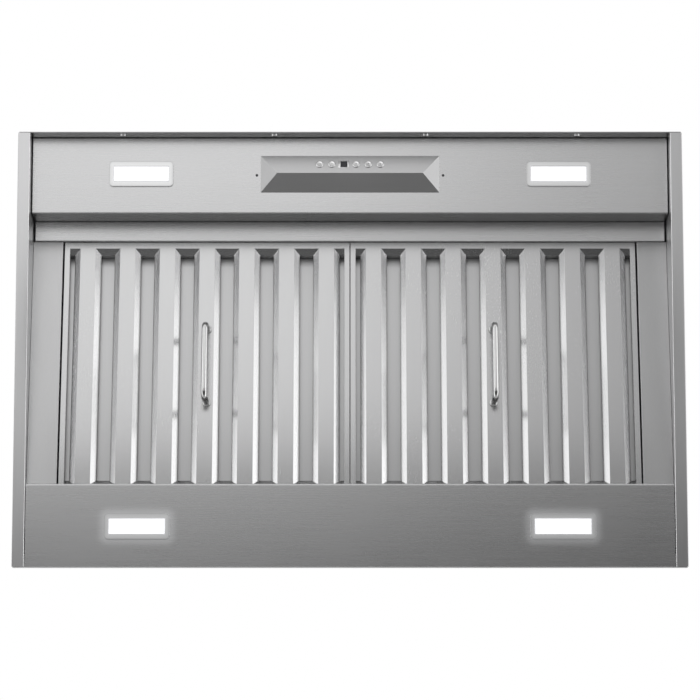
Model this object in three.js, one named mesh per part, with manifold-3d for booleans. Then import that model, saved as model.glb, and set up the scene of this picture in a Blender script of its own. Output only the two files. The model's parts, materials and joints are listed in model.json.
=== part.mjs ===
// A range hood insert: a shallow stainless tray that hangs inside a hood cover, with two sloping
// baffle filters, four lamps, a push-button pod and a blower box with a round duct collar on top.
// Millimetres. +Z is up, the front with the buttons faces -Y, and z = 0 is the lower rim.
import * as THREE from 'three';
import { ConvexGeometry } from 'three/addons/geometries/ConvexGeometry.js';
import { mergeVertices } from 'three/addons/utils/BufferGeometryUtils.js';
import Module from 'manifold-3d';

const wasm = await Module();
wasm.setup();

// Tray
const HALF_WIDTH = 437;
const HALF_DEPTH = 289;
const TRAY_HEIGHT = 120;
const SHEET = 1.2;
const RAIL_WIDTH = 16;
const RAIL_INNER_HEIGHT = 112;
const REST_GAP = 0.3;
const WALL_INSET = 1.4;
const DECK_OPENING = { x: 270, y: 140 };

// The rear wall stands inboard of the rim, on a step that turns down to it
const REAR_WALL_Y = 272;
const REAR_STEP_Z = 5.6;

// Front light panel, its lip, and the ledge between the lip and the filters
const FRONT_PANEL_Z = 28;
const FRONT_PANEL_HALF = 419.2;
const LIP_Y = -185;
const LEDGE_Z = 78.5;
const LEDGE_REAR_Y = -158.4;
const LEDGE_HALF = 418.4;
const LEDGE_REAR_RISE = 18.5;
const LIP_TOP = 94;
const FRONT_FLANGE_RISE = 32;
const SIDE_FOLD_RISE = 22;

// Rear light panel, whose front edge is rolled up in front of the filters' rear edge
const REAR_PANEL_Z = 3;
const REAR_PANEL_HALF = 420.2;
const REAR_PANEL_FRONT_Y = 178.8;
const REAR_ROLL_TOP = 10;
const RAIL_SEAT = { z: 12.6, depth: 12, behindPivot: 2 };

// Baffle filters, each hung at its rear edge and rising towards the front
const FILTER_SLOPE = THREE.MathUtils.degToRad(10.83);
const FILTER_PIVOT = { y: 187, z: 14.1 };
const FILTER_WIDTH = 378.3;
const FILTER_LENGTH = 349.8;
const FILTER_THICKNESS = 20;
const FILTER_CENTRE_X = 189.75;
const FILTER_SHEET = 0.8;
const FILLER_GAP = 2.4;
const BAFFLE_PITCH = 52.8;
const FULL_GROOVES = 6;
const GROOVE_MOUTH = 32.6;
const GROOVE_WALL_DEPTH = 6;
const GROOVE_WALL_RUN = 7.4;
const GROOVE_SKIRT_END = 12.5;
const GROOVE_END_MARGIN = 8.6;
const HALF_GROOVE_OUTER = 182.4;
const FRAME_START = 1.1;
const REAR_WEB_Z = 17.9;
const REAR_LIP_Z = 4;
const REAR_CHANNEL_HALF = 18;
const REAR_STRIP_DEPTH = 9;
const REAR_TAB = { x: 120, half: 12, reach: 9, sheet: 1.2 };
const CATCH_TAB = { half: 9, inset: 4, sheet: 1.2, top: 30 };
const CLIP = { half: 13, low: 84, top: 113, innerY: -153.4, rearY: -142, mouthZ: 103.5, sheet: 0.8 };

// Bow handles
const HANDLE_WIRE_RADIUS = 4;
const HANDLE_FEET = { front: -225, rear: -122, inboard: 1.9 };
const HANDLE_STANDOFF = 26;
const HANDLE_LEAN = 0.8;
const HANDLE_BEND = 9;
const HANDLE_FOOT_RADIUS = 5.6;

// Lamps
const LAMP_X = 275.7;
const FRONT_LAMP_Y = -238;
const REAR_LAMP_Y = 235;
const BEZEL = { x: 84.8, y: 34, corner: 5.5, proud: 2 };
const EMITTER = { x: 73.4, y: 20.8, corner: 1 };
const LAMP_BOX = { x: 76.6, y: 26, height: 19 };
const LAMP_CUTOUT = { x: 78.2, y: 27.6 };
const LAMP_FINS = { count: 9, pitch: 7.5, gap: 3.4, depth: 3.6 };

// Control pod
const POD_Y = -237.8;
const POD_HALF = 118;
const POD_HALF_DEPTH = 24.8;
const RIDGE_HALF = 96.2;
const POD_DROP = 8.1;
const POD_WALL = 1.3;
const POD_BASE_Z = FRONT_PANEL_Z - REST_GAP;
const POD_CUTOUT = { x: 62, y: [-260, -224] };
const BUTTON_NAMES = [
  'power_button', 'lower_speed_button', 'higher_speed_button', 'timer_button', 'light_button'];
const BUTTON_XS = [-40, -24, 8, 24, 40];
const BUTTON_RADIUS = 5;
const BUTTON_PROUD = 1.3;
const DISPLAY_X = -8;
const DISPLAY_SIZE = { x: 9, along: 9 };
const STEM_RADIUS = 2;
const STEM_END = 9;
const BOARD = { half: 56, halfDepth: 14, near: 11.2, sheet: 1.6 };
const POWER_MODULE = { x: [90, 210], y: [-276, -204], height: 30, vents: 8, ventPitch: 12, ventWidth: 5 };

// Blower box and blower
const CASING = { x: 290, y: 160, top: 320, flange: 12, fold: 14 };
const OUTLET_HALF = { x: 73.5, y: 33 };
const SCROLL_CENTRE = { y: -65, z: 222 };
const SCROLL_RADIUS = 98;
const SCROLL_SHRINK = 28;
const SCROLL_TONGUE = 295;
const SCROLL_TONGUE_Y = -33.2;
const SCROLL_HALF = 75;
const INLET_RADIUS = 50;
const INLET_LIP = 6;
const WHEEL_RADIUS = 62;
const WHEEL_HALF = 66;
const BLADE_DEPTH = 12;
const BLADES = 28;
const HUB = { radius: 13, half: 14 };
const SHAFT_RADIUS = 5;
const SHAFT_ENDS = [-125, 22];
const MOTOR = { near: -111.3, far: -182, radius: 45, capRadius: 37, bossRadius: 11 };
const BRACKET = { reach: 68, half: 16, sheet: 2.5, foot: 11, hole: 14 };
const CAPACITOR = { radius: 17, low: 150, height: 60, y: 80 };

// Duct collar and damper
const COLLAR_RADIUS = 101.6;
const COLLAR_TOP = 362;
const COLLAR_FLANGE = 122;
const DAMPER_Z = 334;
const DAMPER_RADIUS = 97.4;
const DAMPER_SHEET = 1;
const PIN_RADIUS = 2.8;
const KNUCKLE = { inner: 3.2, outer: 4.8, length: 30 };
const DAMPER_LIP = { low: DAMPER_Z - 2.2, high: DAMPER_Z - 0.9, depth: 4.5 };

// Junction box on the deck, right of the casing
const JUNCTION = { x: [322, 402], y: [-62, 18], height: 54, wall: 1.5 };
const GLAND = { bore: 7, thread: 11, nut: 14, sleeve: 12.4 };

const FINISHES = {
  steel: { color: 0xc3c4c5, roughness: 0.38, metalness: 1 },
  baffle: { color: 0xcccccc, roughness: 0.32, metalness: 1 },
  polished: { color: 0xdcdcdc, roughness: 0.15, metalness: 1 },
  galvanised: { color: 0x9fa4a8, roughness: 0.5, metalness: 0.9 },
  lens: { color: 0xfafafa, roughness: 0.4, metalness: 0 },
  dark: { color: 0x1c1d20, roughness: 0.35, metalness: 0 },
  board: { color: 0x1f5a36, roughness: 0.6, metalness: 0 },
  black: { color: 0x2a2b2d, roughness: 0.6, metalness: 0 },
  motor: { color: 0x4a4d50, roughness: 0.5, metalness: 0.6 },
};

// ---- Shapes ----

// A closed mesh as a solid that can be cut and joined.
function solidOf(geometry) {
  const bare = geometry.index ? geometry.toNonIndexed() : geometry.clone();
  bare.deleteAttribute('normal');
  bare.deleteAttribute('uv');
  const merged = mergeVertices(bare, 1e-4);
  const vertProperties = Float32Array.from(merged.attributes.position.array);
  const triVerts = Uint32Array.from(merged.index.array);
  return new wasm.Manifold(new wasm.Mesh({ numProp: 3, vertProperties, triVerts }));
}

function geometryOf(solid) {
  const mesh = solid.getMesh();
  const geometry = new THREE.BufferGeometry();
  geometry.setAttribute('position', new THREE.BufferAttribute(mesh.vertProperties, 3));
  geometry.setIndex(new THREE.BufferAttribute(mesh.triVerts, 1));
  return geometry;
}

function joined(solids) {
  return solids.reduce((sum, solid) => sum.add(solid));
}

function cut(solid, tools) {
  return tools.reduce((rest, tool) => rest.subtract(tool), solid);
}

// A block from its low to its high edge along each axis.
function block([x0, x1], [y0, y1], [z0, z1]) {
  const geometry = new THREE.BoxGeometry(x1 - x0, y1 - y0, z1 - z0);
  geometry.translate((x0 + x1) / 2, (y0 + y1) / 2, (z0 + z1) / 2);
  return solidOf(geometry);
}

function outline(points) {
  return new THREE.Shape(points.map(([u, v]) => new THREE.Vector2(u, v)));
}

function prism(shape, length, basis, curveSegments = 12) {
  const geometry = new THREE.ExtrudeGeometry(shape, { depth: length, bevelEnabled: false, curveSegments });
  geometry.applyMatrix4(basis);
  return geometry;
}

// An outline in (y, z), drawn out along X.
function prismAlongX(shape, [x0, x1], curveSegments) {
  const basis = new THREE.Matrix4().makeBasis(
    new THREE.Vector3(0, 1, 0), new THREE.Vector3(0, 0, 1), new THREE.Vector3(1, 0, 0));
  return solidOf(prism(shape, x1 - x0, basis, curveSegments).translate(x0, 0, 0));
}

// An outline in (x, z), drawn out along Y.
function prismAlongY(shape, [y0, y1]) {
  const basis = new THREE.Matrix4().makeBasis(
    new THREE.Vector3(1, 0, 0), new THREE.Vector3(0, 0, 1), new THREE.Vector3(0, -1, 0));
  return solidOf(prism(shape, y1 - y0, basis).translate(0, y1, 0));
}

// An outline in (x, y), drawn out along Z.
function prismAlongZ(shape, [z0, z1], curveSegments) {
  return solidOf(prism(shape, z1 - z0, new THREE.Matrix4(), curveSegments).translate(0, 0, z0));
}

// A folded sheet's section: the path of its outer skin, thickened to the path's left.
function sheetSection(path, thickness = SHEET) {
  const normals = path.slice(1).map(([u, v], i) => {
    const length = Math.hypot(u - path[i][0], v - path[i][1]);
    return [-(v - path[i][1]) / length, (u - path[i][0]) / length];
  });
  const inner = path.map(([u, v], i) => {
    const before = normals[Math.max(i - 1, 0)];
    const after = normals[Math.min(i, normals.length - 1)];
    const scale = thickness / (1 + before[0] * after[0] + before[1] * after[1]);
    return [u + (before[0] + after[0]) * scale, v + (before[1] + after[1]) * scale];
  });
  return outline([...path, ...inner.reverse()]);
}

// A path's corners rounded by arcs of the given radius.
function rounded(path, radius = 2, steps = 3) {
  return path.flatMap((corner, i) => {
    if (i === 0 || i === path.length - 1) return [corner];
    const here = new THREE.Vector2(...corner);
    const back = new THREE.Vector2(...path[i - 1]).sub(here).normalize();
    const on = new THREE.Vector2(...path[i + 1]).sub(here).normalize();
    const reach = radius / Math.tan(back.angleTo(on) / 2);
    const start = here.clone().addScaledVector(back, reach);
    const end = here.clone().addScaledVector(on, reach);
    const curve = new THREE.QuadraticBezierCurve(start, here, end);
    return curve.getPoints(steps).map((point) => [point.x, point.y]);
  });
}

function mirrored(path) {
  return path.map(([u, v]) => [-u, v]);
}

function roundedRectangle(width, height, corner) {
  const shape = new THREE.Shape();
  const x = width / 2 - corner;
  const y = height / 2 - corner;
  shape.absarc(x, y, corner, 0, Math.PI / 2);
  shape.absarc(-x, y, corner, Math.PI / 2, Math.PI);
  shape.absarc(-x, -y, corner, Math.PI, Math.PI * 1.5);
  shape.absarc(x, -y, corner, Math.PI * 1.5, Math.PI * 2);
  return shape;
}

// A turned solid about Z from (radius, z) points that start and end on the axis or close.
function turned(points, segments = 24) {
  return solidOf(new THREE.LatheGeometry(points.map(([r, z]) => new THREE.Vector2(r, z)), segments)
    .rotateX(Math.PI / 2));
}

function ringPoints(inner, outer, low, high) {
  return [[inner, low], [outer, low], [outer, high], [inner, high], [inner, low]];
}

function rod(radius, [low, high], segments = 16) {
  const geometry = new THREE.CylinderGeometry(radius, radius, high - low, segments);
  return solidOf(geometry.rotateX(Math.PI / 2).translate(0, 0, (low + high) / 2));
}

// A solid made about Z, laid along X through the given centre.
function alongX(solid, y, z) {
  return solidOf(geometryOf(solid).rotateY(Math.PI / 2).translate(0, y, z));
}

function moved(solid, x, y, z) {
  return solidOf(geometryOf(solid).translate(x, y, z));
}

function piece(name, solid, finish) {
  const mesh = new THREE.Mesh(geometryOf(solid), new THREE.MeshStandardMaterial(FINISHES[finish]));
  mesh.name = name;
  return mesh;
}

// ---- Tray ----

function sidePanel(side) {
  const outer = HALF_WIDTH;
  const inner = HALF_WIDTH - RAIL_WIDTH;
  const path = rounded([[-outer, TRAY_HEIGHT], [-outer, 0], [-inner, 0], [-inner, RAIL_INNER_HEIGHT]], 1.6);
  const section = side < 0 ? sheetSection(path) : sheetSection(mirrored(path), -SHEET);
  const panel = prismAlongY(section, [-HALF_DEPTH + WALL_INSET, HALF_DEPTH - WALL_INSET]);
  const clearance = block(
    [-HALF_WIDTH - 1, HALF_WIDTH + 1],
    [REAR_WALL_Y - SHEET - REST_GAP, HALF_DEPTH + 1],
    [REAR_STEP_Z - REST_GAP, TRAY_HEIGHT + 1]);
  return cut(panel, [clearance]);
}

function frontWall() {
  const half = HALF_WIDTH - WALL_INSET;
  return block([-half, half], [-HALF_DEPTH, -HALF_DEPTH + SHEET], [0, TRAY_HEIGHT]);
}

function rearWall() {
  const half = HALF_WIDTH - WALL_INSET;
  const path = [
    [HALF_DEPTH, 0], [HALF_DEPTH, REAR_STEP_Z + SHEET], [REAR_WALL_Y, REAR_STEP_Z + SHEET],
    [REAR_WALL_Y, TRAY_HEIGHT]];
  return prismAlongX(sheetSection(path), [-half, half]);
}

function topDeck() {
  const low = TRAY_HEIGHT + REST_GAP;
  const sheet = block([-HALF_WIDTH, HALF_WIDTH], [-HALF_DEPTH, REAR_WALL_Y], [low, low + SHEET]);
  const { x, y } = DECK_OPENING;
  return cut(sheet, [block([-x, x], [-y, y], [low - 1, low + SHEET + 1])]);
}

function lampCutouts(y, z) {
  const { x: width, y: depth } = LAMP_CUTOUT;
  return [-LAMP_X, LAMP_X].map((x) =>
    block([x - width / 2, x + width / 2], [y - depth / 2, y + depth / 2], [z - 2, z + 4]));
}

function frontLightPanel() {
  const frontY = -HALF_DEPTH + SHEET + 0.5;
  const z = FRONT_PANEL_Z;
  const path = rounded([[frontY, z + FRONT_FLANGE_RISE], [frontY, z], [LIP_Y, z], [LIP_Y, LIP_TOP]], 1.8);
  const sheet = prismAlongX(sheetSection(path), [-FRONT_PANEL_HALF, FRONT_PANEL_HALF]);
  const sideFolds = [-1, 1].map((side) => {
    const xs = [side * FRONT_PANEL_HALF, side * (FRONT_PANEL_HALF - SHEET)].sort((a, b) => a - b);
    return block(xs, [frontY + 4, LIP_Y - 4], [z + SHEET / 2, z + SIDE_FOLD_RISE]);
  });
  const podOpening = block([-POD_CUTOUT.x, POD_CUTOUT.x], POD_CUTOUT.y, [z - 2, z + 4]);
  return cut(joined([sheet, ...sideFolds]), [podOpening, ...lampCutouts(FRONT_LAMP_Y, z)]);
}

function ledgeStrip() {
  const frontY = LIP_Y + REST_GAP;
  const rearTop = LEDGE_Z + LEDGE_REAR_RISE;
  const path = [[frontY, LIP_TOP], [frontY, LEDGE_Z], [LEDGE_REAR_Y, LEDGE_Z], [LEDGE_REAR_Y, rearTop]];
  return prismAlongX(sheetSection(rounded(path, 1.4)), [-LEDGE_HALF, LEDGE_HALF]);
}

function rearLightPanel() {
  const rearY = HALF_DEPTH - SHEET - 0.5;
  const z = REAR_PANEL_Z;
  const frontY = REAR_PANEL_FRONT_Y;
  const path = [[frontY, REAR_ROLL_TOP], [frontY, z], [rearY, z]];
  const sheet = prismAlongX(sheetSection(rounded(path, 3, 5)), [-REAR_PANEL_HALF, REAR_PANEL_HALF]);
  return cut(sheet, lampCutouts(REAR_LAMP_Y, z));
}

// The rail that the filters' rear tabs sit on.
function rearFilterRail() {
  const foot = REAR_PANEL_Z + SHEET + REST_GAP;
  const near = FILTER_PIVOT.y + RAIL_SEAT.behindPivot;
  const far = near + RAIL_SEAT.depth;
  const path = [[far, foot + SHEET], [near, foot + SHEET], [near, RAIL_SEAT.z], [far, RAIL_SEAT.z]];
  return prismAlongX(sheetSection(path, -SHEET), [-LEDGE_HALF, LEDGE_HALF]);
}

// A closing plate beside the filters, in their plane, with a fold up along the filter.
function fillerPlate(side) {
  const outer = HALF_WIDTH - RAIL_WIDTH - 0.4;
  const inner = FILTER_CENTRE_X + FILTER_WIDTH / 2 + FILLER_GAP;
  const path = rounded([[-outer, 0], [-inner, 0], [-inner, FILTER_THICKNESS]], 1.2);
  const section = side < 0 ? sheetSection(path) : sheetSection(mirrored(path), -SHEET);
  return prismAlongY(section, [-FILTER_LENGTH - 0.6, -1.5]);
}

// ---- Filters, in their own frame: the rear lower edge is y = 0, z = 0 and the front is -Y ----

// Each groove's mouth and how far each of its side walls slopes in before its upright skirt.
function grooves() {
  const mouthY = [-FILTER_LENGTH + GROOVE_END_MARGIN, -GROOVE_END_MARGIN];
  const run = GROOVE_WALL_RUN;
  const full = Array.from({ length: FULL_GROOVES }, (_, i) => {
    const x = (i - (FULL_GROOVES - 1) / 2) * BAFFLE_PITCH;
    return { x: [x - GROOVE_MOUTH / 2, x + GROOVE_MOUTH / 2], y: mouthY, leanX: [run, run] };
  });
  const halfInner = (FULL_GROOVES + 1) / 2 * BAFFLE_PITCH - GROOVE_MOUTH / 2;
  const right = { x: [halfInner, HALF_GROOVE_OUTER], y: mouthY, leanX: [run, 0] };
  const left = { x: [-HALF_GROOVE_OUTER, -halfInner], y: mouthY, leanX: [0, run] };
  return [left, ...full, right];
}

// Where a groove's sloping walls end and its upright skirts begin.
function feetOf(groove) {
  return {
    x: [groove.x[0] + groove.leanX[0], groove.x[1] - groove.leanX[1]],
    y: [groove.y[0] + GROOVE_WALL_RUN, groove.y[1] - GROOVE_WALL_RUN],
  };
}

// The space between a groove's sloping walls, grown outwards by a skin if asked.
function grooveMouth(groove, low, skin) {
  const corners = [low, GROOVE_WALL_DEPTH].flatMap((z) => {
    const share = z / GROOVE_WALL_DEPTH;
    const lean = GROOVE_WALL_RUN * share;
    const xs = [groove.x[0] + groove.leanX[0] * share - skin, groove.x[1] - groove.leanX[1] * share + skin];
    const ys = [groove.y[0] + lean - skin, groove.y[1] - lean + skin];
    return xs.flatMap((x) => ys.map((y) => new THREE.Vector3(x, y, z)));
  });
  return solidOf(new ConvexGeometry(corners));
}

// The space between a groove's upright skirts, grown outwards by a skin if asked.
function grooveThroat(groove, zs, skin) {
  const feet = feetOf(groove);
  return block([feet.x[0] - skin, feet.x[1] + skin], [feet.y[0] - skin, feet.y[1] + skin], zs);
}

// The end skirts run on past the side skirts, up to the rear baffles.
function endSkirts(groove) {
  const feet = feetOf(groove);
  const xs = [feet.x[0] - FILTER_SHEET / 2, feet.x[1] + FILTER_SHEET / 2];
  const skirts = [[feet.y[0] - FILTER_SHEET, feet.y[0]], [feet.y[1], feet.y[1] + FILTER_SHEET]];
  return skirts.map((ys) => block(xs, ys, [GROOVE_WALL_DEPTH, REAR_WEB_Z - REST_GAP]));
}

function frontBaffles() {
  const half = FILTER_WIDTH / 2;
  const face = block([-half, half], [-FILTER_LENGTH, 0], [0, FILTER_SHEET]);
  const wallSkin = FILTER_SHEET / Math.sin(Math.atan2(GROOVE_WALL_DEPTH, GROOVE_WALL_RUN));
  const pressed = grooves().flatMap((groove) => [
    grooveMouth(groove, 0, wallSkin),
    grooveThroat(groove, [FILTER_SHEET, GROOVE_SKIRT_END], FILTER_SHEET),
    ...endSkirts(groove),
  ]);
  const hollows = grooves().flatMap((groove) => [
    grooveMouth(groove, -1, 0),
    grooveThroat(groove, [-1, GROOVE_SKIRT_END + 1], 0),
  ]);
  return cut(joined([face, ...pressed]), hollows);
}

function rearBaffles() {
  const ends = [-FILTER_LENGTH + 3, -3];
  const side = FILTER_WIDTH / 2 - FILTER_SHEET - 0.4;
  const web = [REAR_WEB_Z, REAR_WEB_Z + FILTER_SHEET];
  const channels = grooves().flatMap((groove) => {
    const partial = groove.leanX.includes(0);
    const centre = (groove.x[0] + groove.x[1]) / 2;
    const edge = Math.abs(partial ? (FULL_GROOVES + 1) / 2 * BAFFLE_PITCH - REAR_CHANNEL_HALF : 0);
    const sign = Math.sign(centre);
    const xs = partial
      ? [sign * edge, sign * side].sort((a, b) => a - b)
      : [centre - REAR_CHANNEL_HALF, centre + REAR_CHANNEL_HALF];
    const lips = xs.filter((x) => Math.abs(x) < side).map((x) => {
      const inward = x < centre ? FILTER_SHEET : -FILTER_SHEET;
      return block([x, x + inward].sort((a, b) => a - b), ends, [REAR_LIP_Z, web[1]]);
    });
    return [block(xs, ends, web), ...lips];
  });
  const strips = [[ends[0], ends[0] + REAR_STRIP_DEPTH], [ends[1] - REAR_STRIP_DEPTH, ends[1]]]
    .map((ys) => block([-side, side], ys, web));
  return joined([...strips, ...channels]);
}

function filterFrame() {
  const half = FILTER_WIDTH / 2;
  const front = -FILTER_LENGTH;
  const ring = (inset, z) => block([-half + inset, half - inset], [front + inset, -inset], z);
  const channel = cut(ring(0, [FRAME_START, FILTER_THICKNESS]), [
    ring(FILTER_SHEET, [FRAME_START + FILTER_SHEET, FILTER_THICKNESS - FILTER_SHEET]),
    ring(5.4, [0, FILTER_THICKNESS / 2]),
    ring(10, [FILTER_THICKNESS / 2, FILTER_THICKNESS + 1]),
  ]);
  const tabZ = [FRAME_START, FRAME_START + REAR_TAB.sheet];
  const rearTabs = [-REAR_TAB.x, REAR_TAB.x].map((x) =>
    block([x - REAR_TAB.half, x + REAR_TAB.half], [-FILTER_SHEET, REAR_TAB.reach], tabZ));
  const catchYs = [front + CATCH_TAB.inset, front + CATCH_TAB.inset + CATCH_TAB.sheet];
  const catchZ = [FILTER_THICKNESS - FILTER_SHEET / 2, CATCH_TAB.top];
  const catchTab = block([-CATCH_TAB.half, CATCH_TAB.half], catchYs, catchZ);
  return joined([channel, ...rearTabs, catchTab]);
}

// A bow of round wire that stands off the filter face on two flanged feet.
function handle(side) {
  const lean = side * HANDLE_LEAN;
  const footX = -side * HANDLE_FEET.inboard;
  const foot = (y) => new THREE.Vector3(footX, y, -1);
  const corner = (y) => new THREE.Vector3(lean, y, -HANDLE_STANDOFF);
  const towards = (from, to, distance) => from.clone().add(to.clone().sub(from).setLength(distance));
  const [frontFoot, rearFoot] = [foot(HANDLE_FEET.front), foot(HANDLE_FEET.rear)];
  const [frontCorner, rearCorner] = [corner(HANDLE_FEET.front), corner(HANDLE_FEET.rear)];
  const bendPoints = [
    [towards(frontCorner, frontFoot, HANDLE_BEND), frontCorner,
      towards(frontCorner, rearCorner, HANDLE_BEND)],
    [towards(rearCorner, frontCorner, HANDLE_BEND), rearCorner,
      towards(rearCorner, rearFoot, HANDLE_BEND)],
  ];
  const path = new THREE.CurvePath();
  path.add(new THREE.LineCurve3(frontFoot, bendPoints[0][0]));
  path.add(new THREE.QuadraticBezierCurve3(...bendPoints[0]));
  path.add(new THREE.LineCurve3(bendPoints[0][2], bendPoints[1][0]));
  path.add(new THREE.QuadraticBezierCurve3(...bendPoints[1]));
  path.add(new THREE.LineCurve3(bendPoints[1][2], rearFoot));
  const section = new THREE.Shape().absarc(0, 0, HANDLE_WIRE_RADIUS, 0, Math.PI * 2);
  const wire = new THREE.ExtrudeGeometry(section, { steps: 40, curveSegments: 5, extrudePath: path });
  const flange = turned([
    [0, -2.6], [HANDLE_FOOT_RADIUS - 1.2, -2.6], [HANDLE_FOOT_RADIUS, -1.6],
    [HANDLE_FOOT_RADIUS, -REST_GAP], [0, -REST_GAP]], 14);
  const feet = [HANDLE_FEET.front, HANDLE_FEET.rear].map((y) => moved(flange, footX, y, 0));
  return joined([solidOf(wire), ...feet]);
}

function filterGroup(side, prefix) {
  const group = new THREE.Group();
  group.position.set(side * FILTER_CENTRE_X, FILTER_PIVOT.y, FILTER_PIVOT.z);
  group.rotation.x = -FILTER_SLOPE;
  group.add(
    piece(`${prefix}_filter_frame`, filterFrame(), 'steel'),
    piece(`${prefix}_filter_front_baffles`, frontBaffles(), 'baffle'),
    piece(`${prefix}_filter_rear_baffles`, rearBaffles(), 'baffle'),
    piece(`${prefix}_filter_handle`, handle(side), 'polished'));
  return group;
}

// A leaf spring on the ledge that grips the tab on a filter's front edge.
function filterClip(side) {
  const y = LEDGE_REAR_Y - SHEET - REST_GAP;
  const xs = [-CLIP.half, CLIP.half];
  const path = [[y, CLIP.low], [y, CLIP.top], [CLIP.rearY, CLIP.top], [CLIP.rearY, CLIP.mouthZ]];
  const leaf = prismAlongX(sheetSection(rounded(path, 1.4), CLIP.sheet), xs);
  const legYs = [CLIP.innerY, CLIP.innerY + CLIP.sheet];
  const innerLeg = block(xs, legYs, [CLIP.mouthZ, CLIP.top + CLIP.sheet / 2]);
  return moved(joined([leaf, innerLeg]), side * FILTER_CENTRE_X, 0, 0);
}

// ---- Lamps ----

function lampBody() {
  const rim = roundedRectangle(BEZEL.x, BEZEL.y, BEZEL.corner);
  const bezel = prismAlongZ(rim, [-BEZEL.proud - REST_GAP, -REST_GAP], 4);
  const { x, y, height } = LAMP_BOX;
  const box = block([-x / 2, x / 2], [-y / 2, y / 2], [-REST_GAP - 0.5, height]);
  const light = roundedRectangle(EMITTER.x, EMITTER.y, EMITTER.corner);
  const window = prismAlongZ(light, [-BEZEL.proud - 1, height - LAMP_FINS.depth - 2.4], 3);
  const fins = Array.from({ length: LAMP_FINS.count }, (_, i) => {
    const left = (i - (LAMP_FINS.count - 1) / 2) * LAMP_FINS.pitch - LAMP_FINS.gap / 2;
    const zs = [height - LAMP_FINS.depth, height + 1];
    return block([left, left + LAMP_FINS.gap], [-y / 2 - 1, y / 2 + 1], zs);
  });
  return cut(joined([bezel, box]), [window, ...fins]);
}

function lampLens() {
  const shape = roundedRectangle(EMITTER.x - 0.6, EMITTER.y - 0.6, EMITTER.corner);
  return prismAlongZ(shape, [-BEZEL.proud + 0.2, 1.2], 3);
}

function lamps() {
  const spots = [
    ['front_left', -LAMP_X, FRONT_LAMP_Y, FRONT_PANEL_Z],
    ['front_right', LAMP_X, FRONT_LAMP_Y, FRONT_PANEL_Z],
    ['rear_left', -LAMP_X, REAR_LAMP_Y, REAR_PANEL_Z],
    ['rear_right', LAMP_X, REAR_LAMP_Y, REAR_PANEL_Z],
  ];
  return spots.map(([place, x, y, z]) => {
    const group = new THREE.Group();
    group.position.set(x, y, z);
    group.add(piece(`${place}_lamp_body`, lampBody(), 'polished'));
    group.add(piece(`${place}_lamp_lens`, lampLens(), 'lens'));
    return group;
  });
}

// ---- Control pod ----

// A hipped solid whose ridge points down, shrunk inwards by a wall's thickness if asked.
function hippedSolid(inset) {
  const baseZ = POD_BASE_Z + (inset > 0 ? 1 : 0);
  const slope = Math.atan2(POD_DROP, POD_HALF_DEPTH);
  const ridgeZ = POD_BASE_Z - POD_DROP + inset / Math.cos(slope);
  const depth = (baseZ - ridgeZ) / Math.tan(slope);
  const endRun = (POD_HALF - RIDGE_HALF) / POD_DROP;
  const ridge = RIDGE_HALF - inset * 0.4;
  const half = ridge + endRun * (baseZ - ridgeZ);
  const corners = [-half, half].flatMap((x) =>
    [POD_Y - depth, POD_Y + depth].map((y) => new THREE.Vector3(x, y, baseZ)));
  corners.push(new THREE.Vector3(-ridge, POD_Y, ridgeZ), new THREE.Vector3(ridge, POD_Y, ridgeZ));
  return solidOf(new ConvexGeometry(corners));
}

// The frame of the pod's button face: origin at mid face, +Z into the pod, Y up the face.
function buttonFace() {
  const group = new THREE.Group();
  const slope = Math.atan2(POD_DROP, POD_HALF_DEPTH);
  group.position.set(0, POD_Y - POD_HALF_DEPTH / 2, POD_BASE_Z - POD_DROP / 2);
  group.rotation.x = -slope;
  group.updateMatrixWorld();
  return group;
}

function podCover() {
  const face = buttonFace().matrixWorld;
  const onFace = (solid) => solidOf(geometryOf(solid).applyMatrix4(face));
  const holes = BUTTON_XS.map((x) => onFace(moved(rod(BUTTON_RADIUS + 0.3, [-4, 4]), x, 0, 0)));
  const { x: width, along } = DISPLAY_SIZE;
  const displayXs = [DISPLAY_X - width / 2, DISPLAY_X + width / 2];
  const window = onFace(block(displayXs, [-along / 2, along / 2], [-4, 4]));
  return cut(hippedSolid(0), [hippedSolid(POD_WALL), ...holes, window]);
}

function buttonSolid() {
  return turned([
    [0, -BUTTON_PROUD + 0.35], [3.4, -BUTTON_PROUD], [BUTTON_RADIUS - 0.5, -BUTTON_PROUD],
    [BUTTON_RADIUS, -BUTTON_PROUD + 0.5], [BUTTON_RADIUS, POD_WALL + 0.4], [6.2, POD_WALL + 0.4],
    [6.2, POD_WALL + 1.4], [STEM_RADIUS, POD_WALL + 1.4], [STEM_RADIUS, STEM_END], [0, STEM_END]], 16);
}

function podControls() {
  const face = buttonFace();
  BUTTON_XS.forEach((x, i) => {
    const button = piece(BUTTON_NAMES[i], buttonSolid(), 'polished');
    button.position.x = x;
    face.add(button);
  });
  const half = { x: DISPLAY_SIZE.x / 2 - 0.3, y: DISPLAY_SIZE.along / 2 - 0.3 };
  const display = block([DISPLAY_X - half.x, DISPLAY_X + half.x], [-half.y, half.y], [0.2, 6]);
  face.add(piece('display_window', display, 'dark'));
  const { half: boardHalf, halfDepth, near, sheet } = BOARD;
  const board = block([-boardHalf, boardHalf], [-halfDepth, halfDepth], [near, near + sheet]);
  face.add(piece('control_board', board, 'board'));
  return face;
}

function powerModule() {
  const low = FRONT_PANEL_Z + SHEET + REST_GAP;
  const { x, y, height, vents, ventPitch, ventWidth } = POWER_MODULE;
  const slots = Array.from({ length: vents }, (_, i) => {
    const left = x[0] + 14 + i * ventPitch;
    return block([left, left + ventWidth], [y[0] + 14, y[1] - 14], [low + height - 2, low + height + 1]);
  });
  return cut(block(x, y, [low, low + height]), slots);
}

// ---- Blower box ----

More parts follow.
